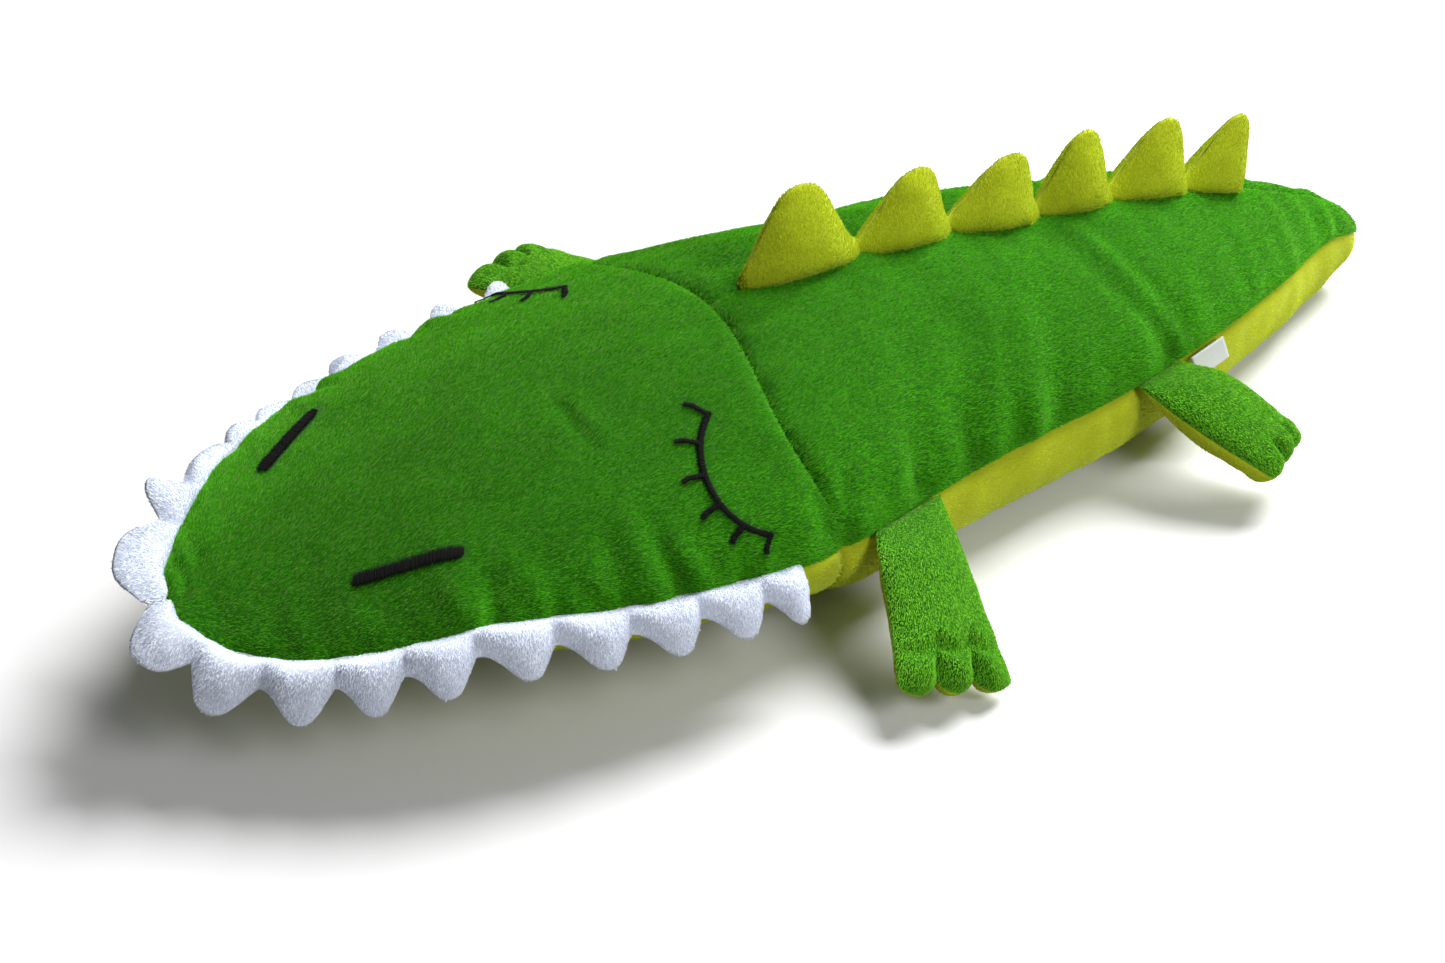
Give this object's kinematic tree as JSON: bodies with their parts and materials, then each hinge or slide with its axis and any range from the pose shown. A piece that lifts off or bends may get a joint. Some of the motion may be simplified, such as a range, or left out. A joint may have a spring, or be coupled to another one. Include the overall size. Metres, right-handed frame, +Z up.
{
  "type": "plush crocodile",
  "caption": "Long flat plush crocodile lying on its belly, with stuffed teeth, back spikes and legs sewn in its seams and closed eyes stitched on its head.",
  "frame": {"origin": "on the floor, on the flat underside of the belly, midway between the nose seam and the tail's end", "axes": "+Y along the toy from nose to tail, +Z up, +X towards the toy's own left"},
  "size_m": [0.4456, 0.8312, 0.1964],
  "materials": {
    "green_plush": "short soft pile, matt",
    "yellow_plush": "short soft pile, matt",
    "white_plush": "short soft pile, matt",
    "black_thread": "satin stitch, slight shine",
    "fibre_filling": "loose polyester fibre, hidden",
    "label_cloth": "smooth woven tape, bare"
  },
  "bodies": {
    "trunk": {"head_top_panel": "green_plush", "jaw_panel": "yellow_plush", "head_filling": "fibre_filling", "back_panel_left": "green_plush", "back_panel_right": "green_plush", "belly_panel": "yellow_plush", "body_filling": "fibre_filling", "teeth_left_upper_ply": "white_plush", "teeth_left_lower_ply": "white_plush", "teeth_left_filling": "fibre_filling", "teeth_right_upper_ply": "white_plush", "teeth_right_lower_ply": "white_plush", "teeth_right_filling": "fibre_filling", "spikes_left_ply": "yellow_plush", "spikes_right_ply": "yellow_plush", "spikes_filling": "fibre_filling", "nostril_left": "black_thread", "nostril_right": "black_thread", "closed_eye_left": "black_thread", "closed_eye_right": "black_thread"},
    "front_left_leg": {"leg_front_left_upper_ply": "green_plush", "leg_front_left_sole_ply": "yellow_plush", "leg_front_left_filling": "fibre_filling"},
    "front_right_leg": {"leg_front_right_upper_ply": "green_plush", "leg_front_right_sole_ply": "yellow_plush", "leg_front_right_filling": "fibre_filling"},
    "rear_left_leg": {"leg_rear_left_upper_ply": "green_plush", "leg_rear_left_sole_ply": "yellow_plush", "leg_rear_left_filling": "fibre_filling"},
    "rear_right_leg": {"leg_rear_right_upper_ply": "green_plush", "leg_rear_right_sole_ply": "yellow_plush", "leg_rear_right_filling": "fibre_filling"},
    "label_tab": {"sewn_label": "label_cloth"}
  },
  "joints": [
    {"name": "front_left_leg_seam", "type": "hinge", "parent": "trunk", "child": "front_left_leg", "pos_m": [0.12665, -0.0343, 0.06045], "axis": [0.2095, -0.9777, 0.0174], "range_deg": [-14, 72], "stiffness_Nm_per_rad": 0.15},
    {"name": "front_right_leg_seam", "type": "hinge", "parent": "trunk", "child": "front_right_leg", "pos_m": [-0.12913, -0.04549, 0.06082], "axis": [0.2171, 0.9756, -0.0318], "range_deg": [-36, 50], "stiffness_Nm_per_rad": 0.15},
    {"name": "rear_left_leg_seam", "type": "hinge", "parent": "trunk", "child": "rear_left_leg", "pos_m": [0.09236, 0.16652, 0.05812], "axis": [0.2352, -0.9718, 0.0179], "range_deg": [-18, 62], "stiffness_Nm_per_rad": 0.12},
    {"name": "rear_right_leg_seam", "type": "hinge", "parent": "trunk", "child": "rear_right_leg", "pos_m": [-0.09236, 0.16652, 0.05812], "axis": [0.2352, 0.9718, -0.0179], "range_deg": [-14, 66], "stiffness_Nm_per_rad": 0.12},
    {"name": "label_seam", "type": "hinge", "parent": "trunk", "child": "label_tab", "pos_m": [0.08162, 0.20813, 0.0573], "axis": [0.2641, -0.9643, 0.0206], "range_deg": [-20, 110], "stiffness_Nm_per_rad": 0.0002}
  ]
}
